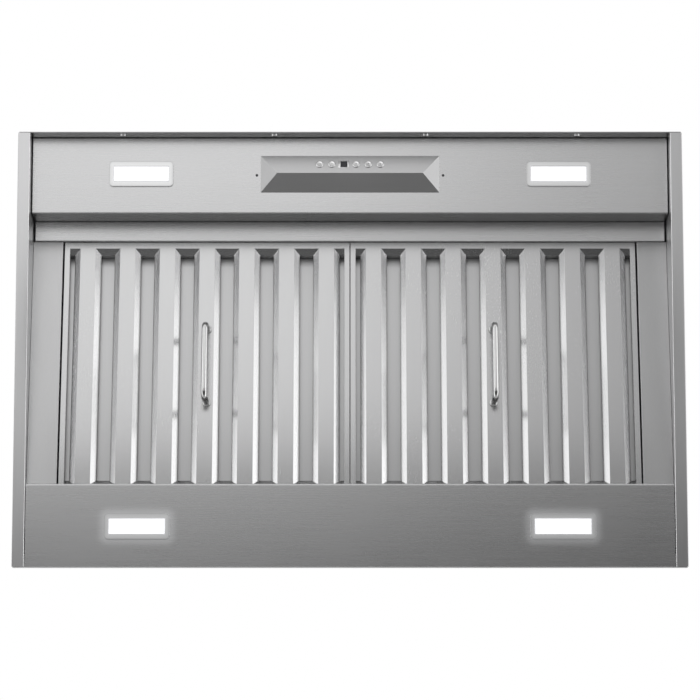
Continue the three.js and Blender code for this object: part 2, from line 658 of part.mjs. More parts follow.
function casingWall(axis, side) {
  const reach = axis === 'x' ? CASING.x : CASING.y;
  const low = TRAY_HEIGHT + 2 * REST_GAP + SHEET;
  const path = [[-reach - CASING.flange, low + SHEET], [-reach, low + SHEET]];
  if (axis === 'y') path.push([-reach, CASING.top], [-reach + CASING.fold, CASING.top]);
  else path.push([-reach, CASING.top - SHEET - REST_GAP]);
  const section = side < 0 ? sheetSection(path, -SHEET) : sheetSection(mirrored(path), SHEET);
  if (axis === 'y') return prismAlongX(section, [-CASING.x, CASING.x]);
  return prismAlongY(section, [-CASING.y + WALL_INSET, CASING.y - WALL_INSET]);
}

function casingTop() {
  const z = [CASING.top + REST_GAP, CASING.top + REST_GAP + SHEET];
  const sheet = block([-CASING.x, CASING.x], [-CASING.y, CASING.y], z);
  const { x, y } = OUTLET_HALF;
  return cut(sheet, [block([-x, x], [-y, y], [z[0] - 1, z[1] + 1])]);
}

// The scroll's curve in (y, z) at a distance inside its outer skin, from the tongue round to the outlet.
function scrollCurve(inside) {
  const steps = 28;
  const curve = Array.from({ length: steps + 1 }, (_, i) => {
    const back = SCROLL_TONGUE * (1 - i / steps);
    const angle = -THREE.MathUtils.degToRad(back);
    const radius = SCROLL_RADIUS - SCROLL_SHRINK * back / 360 - inside;
    return [SCROLL_CENTRE.y + radius * Math.cos(angle), SCROLL_CENTRE.z + radius * Math.sin(angle)];
  });
  const tongueY = SCROLL_TONGUE_Y + inside;
  curve[0] = [tongueY, curve[0][1]];
  return [[tongueY, CASING.top], ...curve, [curve[steps][0], CASING.top]];
}

function scrollWrap() {
  const band = outline([...scrollCurve(0), ...scrollCurve(SHEET).reverse()]);
  return prismAlongX(band, [-SCROLL_HALF, SCROLL_HALF]);
}

function scrollPlate(side) {
  const shape = outline(scrollCurve(0));
  const { y, z } = SCROLL_CENTRE;
  shape.holes.push(new THREE.Path().absarc(y, z, INLET_RADIUS, 0, Math.PI * 2, true));
  const near = SCROLL_HALF + REST_GAP;
  const xs = [side * near, side * (near + SHEET)].sort((a, b) => a - b);
  const lip = turned(ringPoints(INLET_RADIUS, INLET_RADIUS + SHEET, 0, INLET_LIP), 28);
  const lipStart = side < 0 ? xs[1] - INLET_LIP : xs[0];
  return prismAlongX(shape, xs, 14).add(moved(alongX(lip, y, z), lipStart, 0, 0));
}

function impeller() {
  const ends = [[-WHEEL_HALF, -WHEEL_HALF + 3], [WHEEL_HALF - 3, WHEEL_HALF]].map(([low, high]) =>
    turned(ringPoints(WHEEL_RADIUS - BLADE_DEPTH, WHEEL_RADIUS, low, high), BLADES));
  const disc = rod(WHEEL_RADIUS - 1, [-1.2, 1.2], BLADES);
  const hub = rod(HUB.radius, [-HUB.half, HUB.half]);
  const middle = WHEEL_RADIUS - BLADE_DEPTH / 2;
  const blades = Array.from({ length: BLADES }, (_, i) => {
    const blade = new THREE.BoxGeometry(BLADE_DEPTH - 2, 1.2, WHEEL_HALF * 2 - 2);
    blade.rotateZ(THREE.MathUtils.degToRad(28)).translate(middle, 0, 0);
    return solidOf(blade.rotateZ(i / BLADES * Math.PI * 2));
  });
  const bore = rod(SHAFT_RADIUS + 0.3, [-20, 20]);
  return alongX(cut(joined([disc, hub, ...ends, ...blades]), [bore]), SCROLL_CENTRE.y, SCROLL_CENTRE.z);
}

function motorShaft() {
  return alongX(rod(SHAFT_RADIUS, SHAFT_ENDS), SCROLL_CENTRE.y, SCROLL_CENTRE.z);
}

function motorBody() {
  const { near, far, radius, capRadius, bossRadius } = MOTOR;
  const bore = SHAFT_RADIUS + 0.8;
  const profile = [
    [0, far - 3], [14, far - 3], [14, far + 2], [capRadius, far + 2], [radius, far + 8],
    [radius, near - 8], [capRadius, near - 2], [bossRadius, near - 2], [bossRadius, near + 0.6],
    [bore, near + 0.6], [bore, near - 20], [0, near - 20]];
  return alongX(turned(profile, 24), SCROLL_CENTRE.y, SCROLL_CENTRE.z);
}

function motorBracket() {
  const { reach, half, sheet, foot, hole } = BRACKET;
  const { y, z } = SCROLL_CENTRE;
  const face = -SCROLL_HALF - 2 * REST_GAP - SHEET;
  const cross = MOTOR.near + 1;
  const zs = [z - half, z + half];
  const bar = block([cross, cross + sheet], [y - reach, y + reach], zs);
  const arms = [-1, 1].flatMap((side) => {
    const ys = [y + side * reach, y + side * (reach - sheet)].sort((a, b) => a - b);
    const footYs = [y + side * reach, y + side * (reach + foot)].sort((a, b) => a - b);
    return [block([cross, face], ys, zs), block([face - 2, face], footYs, zs)];
  });
  return cut(joined([bar, ...arms]), [alongX(rod(hole, [cross - 5, cross + 5]), y, z)]);
}

function capacitor() {
  const { radius, low, height, y } = CAPACITOR;
  const high = low + height;
  const body = turned([
    [0, low], [radius - 2, low], [radius, low + 2], [radius, high - 2], [radius - 2, high], [0, high]], 16);
  return moved(body, -CASING.x + SHEET + REST_GAP + radius, y, 0);
}

// ---- Duct collar ----

function collarFlange() {
  const base = CASING.top + 2 * REST_GAP + SHEET;
  return turned(ringPoints(COLLAR_RADIUS + REST_GAP, COLLAR_FLANGE, base, base + SHEET), 40);
}

function ductCollar() {
  const base = CASING.top + 2 * REST_GAP + SHEET;
  const inner = COLLAR_RADIUS - SHEET;
  const lip = DAMPER_LIP;
  const tube = turned([
    [inner, base], [COLLAR_RADIUS, base], [COLLAR_RADIUS, COLLAR_TOP], [inner, COLLAR_TOP],
    [inner, lip.high], [inner - lip.depth, lip.high], [inner - lip.depth, lip.low], [inner, lip.low],
    [inner, base]], 40);
  const notches = [-1, 1].map((side) => {
    const xs = [side * (inner - 6), side * inner].sort((a, b) => a - b);
    return block(xs, [-5.4, 5.4], [lip.low - 1, lip.high + 1]);
  });
  return cut(tube, notches.map((notch) => notch.intersect(rod(inner - 0.2, [base, COLLAR_TOP], 40))));
}

function damperPin() {
  const half = COLLAR_RADIUS - SHEET - 0.8;
  return alongX(rod(PIN_RADIUS, [-half, half], 20), 0, DAMPER_Z);
}

// A half disc that hangs on the pin by two knuckles, which take turns with those of its twin.
function damperFlap(side) {
  const disc = rod(DAMPER_RADIUS, [-DAMPER_SHEET / 2, DAMPER_SHEET / 2], 40);
  const beyond = [KNUCKLE.outer + 0.4, DAMPER_RADIUS + 1].map((y) => y * side).sort((a, b) => a - b);
  const plate = disc.intersect(block([-DAMPER_RADIUS, DAMPER_RADIUS], beyond, [-1, 1]));
  const starts = side > 0 ? [-80, 10] : [-40, 50];
  const knuckles = starts.flatMap((start) => {
    const end = start + KNUCKLE.length;
    const ring = alongX(turned(ringPoints(KNUCKLE.inner, KNUCKLE.outer, start, end), 12), 0, 0);
    const web = [KNUCKLE.outer - 0.8, KNUCKLE.outer + 1].map((y) => y * side).sort((a, b) => a - b);
    return [ring, block([start, end], web, [-DAMPER_SHEET / 2, DAMPER_SHEET / 2])];
  });
  return moved(joined([plate, ...knuckles]), 0, 0, DAMPER_Z);
}

// ---- Junction box ----

function junctionBase() {
  return TRAY_HEIGHT + 2 * REST_GAP + SHEET;
}

function junctionBox() {
  const { x, y, height, wall } = JUNCTION;
  const low = junctionBase();
  const insideXs = [x[0] + wall, x[1] - wall];
  const insideYs = [y[0] + wall, y[1] - wall];
  const inside = block(insideXs, insideYs, [low + wall, low + height + 1]);
  const hole = rod(GLAND.thread + REST_GAP, [x[1] - 4, x[1] + 4]);
  const entry = alongX(hole, (y[0] + y[1]) / 2, low + height / 2);
  return cut(block(x, y, [low, low + height]), [inside, entry]);
}

function junctionCover() {
  const { x, y, height } = JUNCTION;
  const low = junctionBase() + height + REST_GAP;
  return block([x[0] - 2, x[1] + 2], [y[0] - 2, y[1] + 2], [low, low + SHEET]);
}

function cableGland() {
  const { x, y, height, wall } = JUNCTION;
  const out = x[1];
  const inside = out - wall - REST_GAP;
  const { bore, thread, nut, sleeve } = GLAND;
  const profile = [
    [bore, inside - 5], [nut, inside - 5], [nut, inside], [thread, inside],
    [thread, out + REST_GAP], [nut, out + REST_GAP], [nut, out + 6], [sleeve, out + 8],
    [sleeve, out + 15], [sleeve - 2.4, out + 19], [bore, out + 19], [bore, inside - 5]];
  return alongX(turned(profile, 18), (y[0] + y[1]) / 2, junctionBase() + height / 2);
}

// ---- The whole insert ----

const slopedPlates = new THREE.Group();
slopedPlates.position.set(0, FILTER_PIVOT.y, FILTER_PIVOT.z);
slopedPlates.rotation.x = -FILTER_SLOPE;
slopedPlates.add(
  piece('left_filler_plate', fillerPlate(-1), 'steel'),
  piece('right_filler_plate', fillerPlate(1), 'steel'));

const insert = new THREE.Group();
insert.add(
  piece('left_side_panel', sidePanel(-1), 'steel'),
  piece('right_side_panel', sidePanel(1), 'steel'),
  piece('front_wall', frontWall(), 'steel'),
  piece('rear_wall', rearWall(), 'steel'),
  piece('top_deck', topDeck(), 'galvanised'),
  piece('front_light_panel', frontLightPanel(), 'steel'),
  piece('ledge_strip', ledgeStrip(), 'steel'),
  piece('rear_light_panel', rearLightPanel(), 'steel'),
  piece('rear_filter_rail', rearFilterRail(), 'galvanised'),
  slopedPlates,
  filterGroup(-1, 'left'),
  filterGroup(1, 'right'),
  piece('left_filter_clip', filterClip(-1), 'polished'),
  piece('right_filter_clip', filterClip(1), 'polished'),
  ...lamps(),
  piece('pod_cover', podCover(), 'steel'),
  podControls(),
  piece('power_module', powerModule(), 'black'),
  piece('casing_front', casingWall('y', -1), 'galvanised'),
  piece('casing_rear', casingWall('y', 1), 'galvanised'),
  piece('casing_left', casingWall('x', -1), 'galvanised'),
  piece('casing_right', casingWall('x', 1), 'galvanised'),
  piece('casing_top', casingTop(), 'galvanised'),
  piece('scroll_wrap', scrollWrap(), 'galvanised'),
  piece('scroll_left_plate', scrollPlate(-1), 'galvanised'),
  piece('scroll_right_plate', scrollPlate(1), 'galvanised'),
  piece('impeller', impeller(), 'galvanised'),
  piece('motor_shaft', motorShaft(), 'polished'),
  piece('motor_body', motorBody(), 'motor'),
  piece('motor_bracket', motorBracket(), 'galvanised'),
  piece('capacitor', capacitor(), 'black'),
  piece('collar_flange', collarFlange(), 'galvanised'),
  piece('duct_collar', ductCollar(), 'galvanised'),
  piece('damper_pin', damperPin(), 'polished'),
  piece('front_damper_flap', damperFlap(-1), 'galvanised'),
  piece('rear_damper_flap', damperFlap(1), 'galvanised'),
  piece('junction_box', junctionBox(), 'galvanised'),
  piece('junction_box_cover', junctionCover(), 'galvanised'),
  piece('cable_gland', cableGland(), 'black'));

export default insert;
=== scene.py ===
import json
import math

import bpy
from mathutils import Matrix, Vector

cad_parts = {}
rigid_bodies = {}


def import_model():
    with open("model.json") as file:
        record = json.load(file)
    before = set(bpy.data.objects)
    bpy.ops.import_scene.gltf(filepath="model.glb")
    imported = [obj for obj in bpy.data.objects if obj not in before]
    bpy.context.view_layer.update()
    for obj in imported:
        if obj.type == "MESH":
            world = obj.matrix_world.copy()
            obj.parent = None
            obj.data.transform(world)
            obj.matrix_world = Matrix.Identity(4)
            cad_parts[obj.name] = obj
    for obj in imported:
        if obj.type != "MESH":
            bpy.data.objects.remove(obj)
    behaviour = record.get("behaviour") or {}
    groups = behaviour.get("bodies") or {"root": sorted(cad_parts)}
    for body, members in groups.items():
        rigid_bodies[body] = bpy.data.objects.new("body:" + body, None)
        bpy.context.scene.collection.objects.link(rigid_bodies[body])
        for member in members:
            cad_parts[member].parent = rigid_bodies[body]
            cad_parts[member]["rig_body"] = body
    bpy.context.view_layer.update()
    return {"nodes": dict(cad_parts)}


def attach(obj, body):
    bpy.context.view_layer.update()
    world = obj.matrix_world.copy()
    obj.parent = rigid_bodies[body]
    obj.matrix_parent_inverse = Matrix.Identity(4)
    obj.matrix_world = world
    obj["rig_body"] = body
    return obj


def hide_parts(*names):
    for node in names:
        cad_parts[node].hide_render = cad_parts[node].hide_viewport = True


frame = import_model()
scene = bpy.context.scene
MM = 0.001

# ---- The hood's own measures, in metres ----

OUTWARD = {"left": -1, "right": 1}
RIM_HALF = (437 * MM, 289 * MM)
FRONT_PANEL_Z = 28 * MM
FILTER_SLOPE = math.radians(10.83)
FILTER_PIVOT = Vector((0, 187, 14.1)) * MM
FILTER_X = 189.75 * MM
POD_Y = -237.8 * MM
POD_HALF_DEPTH = 24.8 * MM
POD_DROP = 8.1 * MM
POD_BASE_Z = 27.7 * MM
BUTTONS = {
    "power_button": -40 * MM,
    "lower_speed_button": -24 * MM,
    "higher_speed_button": 8 * MM,
    "timer_button": 24 * MM,
    "light_button": 40 * MM,
}
BUTTON_MIDDLE_PROUD = 0.95 * MM
MARK_STROKE = 0.45 * MM
MARK_THICKNESS = 0.2 * MM
DISPLAY_X = -8 * MM
DISPLAY_FRAME_HALF = (7.2 * MM, 5.4 * MM)
DISPLAY_OPENING_HALF = 4.7 * MM
LAMPS = ("front_left", "front_right", "rear_left", "rear_right")
LAMP_X = 275.7 * MM
FRONT_LAMPS_Y = -238 * MM
REAR_LAMPS_Y = 235 * MM
LENS_HALF = (36.4 * MM, 10.1 * MM)
BEZEL_HALF = (42.4 * MM, 17 * MM)
BEZEL_CORNER = 5.5 * MM
LEDGE_FOLD_Y = -158.7 * MM
GROOVE_FRONT_Y = -137.5 * MM
GROOVE_FOLD_BEHIND = (4.3 * MM, 6.4 * MM)
HANDLE_WIRE_RADIUS = 4 * MM
HANDLE_STANDOFF = 26 * MM
HANDLE_BEND = 10 * MM
HANDLE_ENDS = (-225 * MM, -122 * MM)
HANDLE_FEET_INBOARD = 1.9 * MM
HANDLE_BAR_OUTBOARD = 0.8 * MM

# ---- Where the screws stand, in millimetres ----

WALL_SCREWS_X = (-299.5, -99.8, 99.8, 299.5)
WALL_SCREWS_Y = -287.8
WALL_SCREWS_Z = 14
POD_SCREWS_X = (-123, 123)
POD_SCREWS_Y = -236.3
FLANGE_TOP = 123
FLANGE_SCREWS_X = (-260, -130, 0, 130, 260)
FLANGE_SCREWS_Y = (-166, 166)
FLANGE_END_SCREWS_X = (-296, 296)
FLANGE_END_SCREWS_Y = (-110, 0, 110)
LID_TOP = 321.5
LID_SCREWS_X = (-250, -100, 100, 250)
LID_SCREWS_Y = (-153, 153)
COLLAR_FLANGE_TOP = 323
COLLAR_SCREWS_RADIUS = 112
JUNCTION_COVER_TOP = 177.3
JUNCTION_SCREWS_X = (328, 396)
JUNCTION_SCREWS_Y = (-56, 12)

# ---- The studio, in metres ----

CARD_HALF = 2
LIT_SPOT = Vector((0, 0, 0.05))
CAMERA_LENS = 198
CAMERA_TILT = math.radians(10.5)
CAMERA_PLACE = (0.9179, -4.933)

# ---- Finishes ----


class Surface:
    """A socket whose value changes over a surface: arithmetic on it adds Math nodes."""

    def __init__(self, nodes, socket):
        self.nodes = nodes
        self.socket = socket

    def maths(self, operation, first, second=None):
        values = {0: first} if second is None else {0: first, 1: second}
        return self.nodes.node("ShaderNodeMath", {"operation": operation}, values)

    def __add__(self, other):
        return self.maths("ADD", self, other)

    def __radd__(self, other):
        return self.maths("ADD", other, self)

    def __sub__(self, other):
        return self.maths("SUBTRACT", self, other)

    def __rsub__(self, other):
        return self.maths("SUBTRACT", other, self)

    def __mul__(self, other):
        return self.maths("MULTIPLY", self, other)

    def __rmul__(self, other):
        return self.maths("MULTIPLY", other, self)

    def __abs__(self):
        return self.maths("ABSOLUTE", self)

    def __pow__(self, other):
        return self.maths("POWER", self, other)

    def least(self, other):
        return self.maths("MINIMUM", self, other)

    def most(self, other):
        return self.maths("MAXIMUM", self, other)

    def over(self, limit):
        return self.maths("GREATER_THAN", self, limit)

    def under(self, limit):
        return self.maths("LESS_THAN", self, limit)


class Nodes:
    """A node tree, with one way to add any node."""

    def __init__(self, tree):
        self.tree = tree

    def node(self, kind, settings=None, values=None, output=0):
        made = self.tree.nodes.new(kind)
        for key, value in (settings or {}).items():
            if key == "stops":
                self.set_stops(made.color_ramp, value)
            else:
                setattr(made, key, value)
        for socket, value in (values or {}).items():
            self.feed(made.inputs[socket], value)
        return Surface(self, made.outputs[output])

    def set_stops(self, ramp, stops):
        while len(ramp.elements) < len(stops):
            ramp.elements.new(0.5)
        for element, (place, colour) in zip(ramp.elements, stops):
            element.position = place
            element.color = colour

    def feed(self, socket, value):
        if isinstance(value, Surface):
            self.tree.links.new(value.socket, socket)
        else:
            socket.default_value = value

    def tint(self, share, low, high):
        """A colour between two colours."""
        values = {0: share, 6: (*low, 1), 7: (*high, 1)}
        return self.node("ShaderNodeMix", {"data_type": "RGBA"}, values, output=2)


class Finish(Nodes):
    """A material that reads a piece's own coordinates."""

    def __init__(self, name, plain=None):
        self.material = bpy.data.materials.new(name)
        self.material.use_nodes = True
        super().__init__(self.material.node_tree)
        self.shader = self.tree.nodes["Principled BSDF"]
        for socket, value in (plain or {}).items():
            self.shader.inputs[socket].default_value = value

    def set(self, name, value):
        self.feed(self.shader.inputs[name], value)

    def show(self, surface):
        """Makes a shader of the tree the one that the material shows."""
        self.feed(self.tree.nodes["Material Output"].inputs["Surface"], surface)

    def place(self, scale):
        """The piece's own coordinates, scaled."""
        spot = self.node("ShaderNodeTexCoord", output="Object")
        return self.node("ShaderNodeMapping", {"vector_type": "POINT"}, {"Vector": spot, "Scale": scale})

    def noise(self, scale, detail=2.0, roughness=0.5):
        values = {"Vector": self.place(scale), "Scale": 1.0, "Detail": detail, "Roughness": roughness}
        return self.node("ShaderNodeTexNoise", {}, values)

    def eased_share(self, value, low, high, start=0.0, end=1.0):
        """A smooth passage from start to end while the value goes from low to high."""
        values = {"Value": value, "From Min": low, "From Max": high, "To Min": start, "To Max": end}
        return self.node("ShaderNodeMapRange", {"interpolation_type": "SMOOTHSTEP"}, values)

    def axes(self, names="XY"):
        """The piece's own coordinates, one by one."""
        spot = self.node("ShaderNodeTexCoord", output="Object")
        return [self.node("ShaderNodeSeparateXYZ", {}, {0: spot}, output=name) for name in names]

    def bump(self, height, strength, distance):
        values = {"Strength": strength, "Distance": distance, "Height": height}
        return self.node("ShaderNodeBump", {}, values)


def grey(value):
    return (value, value, value)


def groove_painted_shade(finish):
    """Painted shade: a factor that falls from 1 on a filter's face to about half in the folds at the bottom
    of its grooves' long sides.
    """
    y, z = finish.axes("YZ")
    behind = (y - FILTER_PIVOT.y) * math.sin(FILTER_SLOPE) + (z - FILTER_PIVOT.z) * math.cos(FILTER_SLOPE)
    along_fold = finish.eased_share(y, GROOVE_FRONT_Y - 1.5 * MM, GROOVE_FRONT_Y)
    return 1 - 0.55 * along_fold * finish.eased_share(behind, *GROOVE_FOLD_BEHIND)


def brushed(name, along, tone, roughness, streak=0.05, shade=None):
    """Brushed stainless steel whose grain runs along an axis."""
    finish = Finish(name, {"Metallic": 1.0})
    fine = [1100, 1100, 1100]
    fine["xyz".index(along)] = 14
    broad = [90, 90, 90]
    broad["xyz".index(along)] = 3
    grain = finish.noise(fine, 3.0, 0.6)
    cloud = finish.noise(broad, 2.0, 0.5)
    soft = finish.noise([7, 7, 7], 2.0, 0.5)
    level = tone - streak + 2 * streak * (grain * 0.55 + cloud * 0.25 + soft * 0.2)
    # A shade function, if given, darkens the tone with painted shade.
    if shade:
        level = level * shade(finish)
    finish.set("Base Color", finish.tint(level, (0, 0, 0), (1, 1, 1.006)))
    finish.set("Roughness", roughness - 0.07 + 0.1 * grain + 0.06 * soft)
    finish.set("Normal", finish.bump(grain, 0.22, 0.02 * MM))
    return finish


def ledge_finish(name):
    """Brushed steel, bare and pale on the fold that turns up in front of the filters."""
    finish = brushed(name, "x", 0.62, 0.27)
    y = finish.axes("Y")[0]
    finish.set("Metallic", finish.eased_share(y, LEDGE_FOLD_Y - 1 * MM, LEDGE_FOLD_Y, 1.0, 0.0))
    return finish.material


def rear_baffle_finish(name):
    """Brushed steel, duller at the front end of each groove, where the press has drawn it."""
    finish = brushed(name, "y", 0.56, 0.32, 0.03)
    drawn = finish.eased_share(finish.axes("Y")[0], GROOVE_FRONT_Y, GROOVE_FRONT_Y + 14 * MM, 1.0, 0.0)
    finish.set("Roughness", 0.32 + 0.28 * drawn)
    return finish.material


def polished(name, tone, roughness):
    """Polished steel wire and trim, with faint wiping marks."""
    finish = Finish(name, {"Metallic": 1.0})
    haze = finish.noise([60, 60, 60], 3.0, 0.6)
    hair = finish.noise([900, 40, 900], 2.0, 0.5)
    finish.set("Base Color", finish.tint(haze, grey(tone - 0.03), grey(tone + 0.03)))
    finish.set("Roughness", roughness - 0.03 + 0.05 * haze + 0.03 * hair)
    finish.set("Normal", finish.bump(hair, 0.1, 0.01 * MM))
    return finish.material


def galvanised(name, tone):
    """Zinc-coated sheet with its spangle."""
    finish = Finish(name, {"Metallic": 1.0})
    spot = finish.place([70, 70, 70])
    values = {"Vector": spot, "Scale": 1.0}
    crystal = finish.node("ShaderNodeTexVoronoi", {"feature": "F1"}, values, output="Color")
    level = finish.node("ShaderNodeRGBToBW", {}, {0: crystal})
    dust = finish.noise([25, 25, 25], 4.0, 0.6)
    share = level * 0.55 + dust * 0.45
    dull = (tone - 0.07, tone - 0.065, tone - 0.05)
    bright = (tone + 0.05, tone + 0.055, tone + 0.07)
    finish.set("Base Color", finish.tint(share, dull, bright))
    finish.set("Roughness", 0.36 + 0.14 * level + 0.08 * dust)
    finish.set("Normal", finish.bump(dust, 0.15, 0.1 * MM))
    return finish.material


def moulded(name, colour, roughness, metallic=0.0):
    """Moulded plastic or paint with a fine pebbled skin."""
    finish = Finish(name, {"Metallic": metallic})
    pebble = finish.noise([1800, 1800, 1800], 2.0, 0.5)
    wear = finish.noise([30, 30, 30], 3.0, 0.6)
    darker = tuple(c * 0.8 for c in colour)
    lighter = tuple(min(1, c * 1.25 + 0.01) for c in colour)
    finish.set("Base Color", finish.tint(wear, darker, lighter))
    finish.set("Roughness", roughness - 0.06 + 0.12 * wear)
    finish.set("Normal", finish.bump(pebble, 0.25, 0.03 * MM))
    return finish.material


def from_lamp_middle(finish):
    """How far a spot lies from the middle of its lamp, along X and along Y."""
    x, y = finish.axes()
    halfway = (FRONT_LAMPS_Y + REAR_LAMPS_Y) / 2
    reach = (REAR_LAMPS_Y - FRONT_LAMPS_Y) / 2
    return abs(abs(x) - LAMP_X), abs(abs(y - halfway) - reach)


def past_bezel(finish):
    """How far a spot lies outside the round-cornered edge of a lamp's bezel; inside it's negative."""
    off_x, off_y = from_lamp_middle(finish)
    past_x = (off_x - (BEZEL_HALF[0] - BEZEL_CORNER)).most(0)
    past_y = (off_y - (BEZEL_HALF[1] - BEZEL_CORNER)).most(0)
    return (past_x * past_x + past_y * past_y) ** 0.5 - BEZEL_CORNER


def lit_lens(name):
    """A frosted lens that glows, less so in the last millimetres before its edge, over faint prism lines."""
    finish = Finish(name, {"Base Color": (0.4, 0.4, 0.41, 1), "Roughness": 0.4})
    off_x, off_y = from_lamp_middle(finish)
    edge = (LENS_HALF[0] - off_x).least(LENS_HALF[1] - off_y)
    fade = finish.eased_share(edge, 0.0, 2.0 * MM, 0.2, 1.0)
    lines = finish.noise([40, 900, 40], 1.0, 0.5)
    glow = fade * (0.97 + 0.03 * lines)
    finish.set("Emission Color", finish.tint(glow, (0, 0, 0), (0.97, 0.98, 1)))
    finish.set("Emission Strength", 1.5)
    return finish.material


def spilled_light(finish, level):
    """Adds the lamp's own light that lies on the metal next to it."""
    finish.set("Emission Color", finish.tint(level, (0, 0, 0), (0.97, 0.98, 1)))
    finish.set("Emission Strength", 1.0)
    return finish.material


def bezel_finish(name):
    """Satin steel with painted shade darkening it where it rolls down to the panel, and with some of its
    lens's light painted on it.
    """
    finish = Finish(name, {"Metallic": 1.0})
    past = past_bezel(finish)
    rim_painted_shade = finish.eased_share(past, -1.5 * MM, -0.5 * MM)
    grain = finish.noise([40, 1200, 1200], 2.0, 0.5)
    # Painted shade: the base colour darkens in a thin line where the bezel rolls down to the panel.
    finish.set("Base Color", finish.tint(0.63 + 0.04 * grain - 0.16 * rim_painted_shade, (0, 0, 0), (1, 1, 1)))
    finish.set("Roughness", 0.3 + 0.08 * grain)
    return spilled_light(finish, finish.eased_share(past, -6 * MM, 0.0, 0.2, 0.12))


def rear_panel_finish(name):
    """Brushed steel with a faint halo round each lit lamp."""
    finish = brushed(name, "x", 0.62, 0.27)
    halo = finish.eased_share(past_bezel(finish), 0.0, 16 * MM, 1.0, 0.0)
    return spilled_light(finish, 0.1 * halo * halo)


def circuit(name):
    """A lacquered board with its tracks."""
    finish = Finish(name)
    spot = finish.place([260, 260, 260])
    values = {"Vector": spot, "Scale": 1.0}
    tracks = finish.node("ShaderNodeTexVoronoi", {"feature": "DISTANCE_TO_EDGE"}, values)
    line = tracks.under(0.06)
    finish.set("Base Color", finish.tint(line, (0.02, 0.13, 0.06), (0.06, 0.26, 0.12)))
    finish.set("Roughness", 0.45 + 0.15 * line)
    return finish.material


STEEL_X = brushed("steel_grain_across", "x", 0.62, 0.27).material
STEEL_Y = brushed("steel_grain_lengthways", "y", 0.64, 0.3).material
REAR_PANEL = rear_panel_finish("rear_panel_steel")
FILLER_STEEL = brushed("filler_plate_steel", "y", 0.54, 0.3).material
POD_STEEL = brushed("pod_cover_steel", "x", 0.63, 0.34, 0.03).material
# The baffles get painted shade in the folds at the bottom of their grooves.
BAFFLE = brushed("baffle_steel", "y", 0.6, 0.24, 0.03, shade=groove_painted_shade).material
FRAME_STEEL = brushed("filter_frame_steel", "x", 0.6, 0.32, 0.03).material
REAR_BAFFLE = rear_baffle_finish("rear_baffle_steel")
LEDGE_STEEL = ledge_finish("ledge_strip_steel")
WIRE = polished("polished_wire", 0.68, 0.2)
BUTTON = polished("polished_button", 0.86, 0.15)
BEZEL = bezel_finish("lamp_bezel_satin")
LENS = lit_lens("lamp_lens_lit")
ZINC = galvanised("galvanised_sheet", 0.5)
BLACK = moulded("black_moulded", (0.03, 0.03, 0.033), 0.5)
MOTOR = moulded("motor_paint", (0.06, 0.063, 0.068), 0.42, 0.4)
WINDOW = moulded("dark_window", (0.012, 0.012, 0.015), 0.14)
BOARD = circuit("lacquered_board")
INK = moulded("button_mark_ink", (0.04, 0.04, 0.045), 0.45)

# ---- Making pieces ----


def alone(piece):
    """Selects one piece and nothing else."""
    bpy.ops.object.select_all(action="DESELECT")
    piece.select_set(True)
    bpy.context.view_layer.objects.active = piece


def into_edit(piece, kind="FACE"):
    """Opens one piece for editing by its vertices, edges or faces."""
    alone(piece)
    bpy.ops.object.mode_set(mode="EDIT")
    bpy.ops.mesh.select_mode(type=kind)


def finished(piece, name, material, body, smooth=35):
    """Applies a piece's place, names it, and sets it riding on a body."""
    alone(piece)
    bpy.ops.object.transform_apply(location=True, rotation=True, scale=True)
    piece.name = name
    piece.data.name = name
    bpy.ops.object.shade_smooth_by_angle(angle=math.radians(smooth))
    piece.data.materials.clear()
    piece.data.materials.append(material)
    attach(piece, body)


def placed(piece, matrix):
    """Moves a piece, and applies the move to its mesh."""
    piece.matrix_world = matrix @ piece.matrix_world
    alone(piece)
    bpy.ops.object.transform_apply(location=True, rotation=True, scale=True)
    return piece


def joined(pieces):
    """Makes one piece of several."""
    bpy.ops.object.select_all(action="DESELECT")
    for piece in pieces:
        piece.select_set(True)
    bpy.context.view_layer.objects.active = pieces[0]
    if len(pieces) > 1:
        bpy.ops.object.join()
    return pieces[0]


def copied(piece, matrix):
    """A copy with its own mesh, at another place."""
    twin = piece.copy()
    twin.data = piece.data.copy()
    scene.collection.objects.link(twin)
    return placed(twin, matrix)


def turned(profile, segments):
    """A piece turned about Z from (radius, height) points, in metres, by extruding ring after ring."""
    (radius, height), rest = profile[0], profile[1:]
    bpy.ops.object.select_all(action="DESELECT")
    bpy.ops.mesh.primitive_circle_add(
        vertices=segments, radius=radius, fill_type="NOTHING", location=(0, 0, height))
    piece = bpy.context.object
    bpy.ops.object.transform_apply(location=True)
    bpy.ops.object.mode_set(mode="EDIT")
    bpy.ops.mesh.select_mode(type="EDGE")
    bpy.ops.mesh.select_all(action="SELECT")
    bpy.ops.mesh.edge_face_add()
    bpy.ops.mesh.select_all(action="SELECT")
    for next_radius, next_height in rest:
        bpy.ops.mesh.extrude_region_move(TRANSFORM_OT_translate={"value": (0, 0, next_height - height)})
        share = next_radius / radius
        bpy.ops.transform.resize(value=(share, share, 1), center_override=(0, 0, next_height))
        radius, height = next_radius, next_height
    bpy.ops.mesh.select_all(action="SELECT")
    bpy.ops.mesh.normals_make_consistent(inside=False)
    bpy.ops.object.mode_set(mode="OBJECT")
    return piece


def slab(low, high, ease=0.0):
    """A block between two corners, with its edges eased."""
    low, high = Vector(low), Vector(high)
    bpy.ops.object.select_all(action="DESELECT")
    bpy.ops.mesh.primitive_cube_add(size=1, location=(low + high) / 2, scale=high - low)
    piece = bpy.context.object
    bpy.ops.object.transform_apply(location=True, rotation=True, scale=True)
    if ease:
        bpy.ops.object.mode_set(mode="EDIT")
        bpy.ops.mesh.select_all(action="SELECT")
        bpy.ops.mesh.bevel(offset=ease, segments=2, affect="EDGES")
        bpy.ops.object.mode_set(mode="OBJECT")
    return piece


def carved(piece, tools):
    """Takes the tools' shapes out of a piece."""
    for tool in tools:
        carving = piece.modifiers.new("carving", "BOOLEAN")
        carving.operation = "DIFFERENCE"
        carving.solver = "EXACT"
        carving.object = tool
        alone(piece)
        bpy.ops.object.modifier_apply(modifier="carving")
        bpy.data.objects.remove(tool)
    return piece


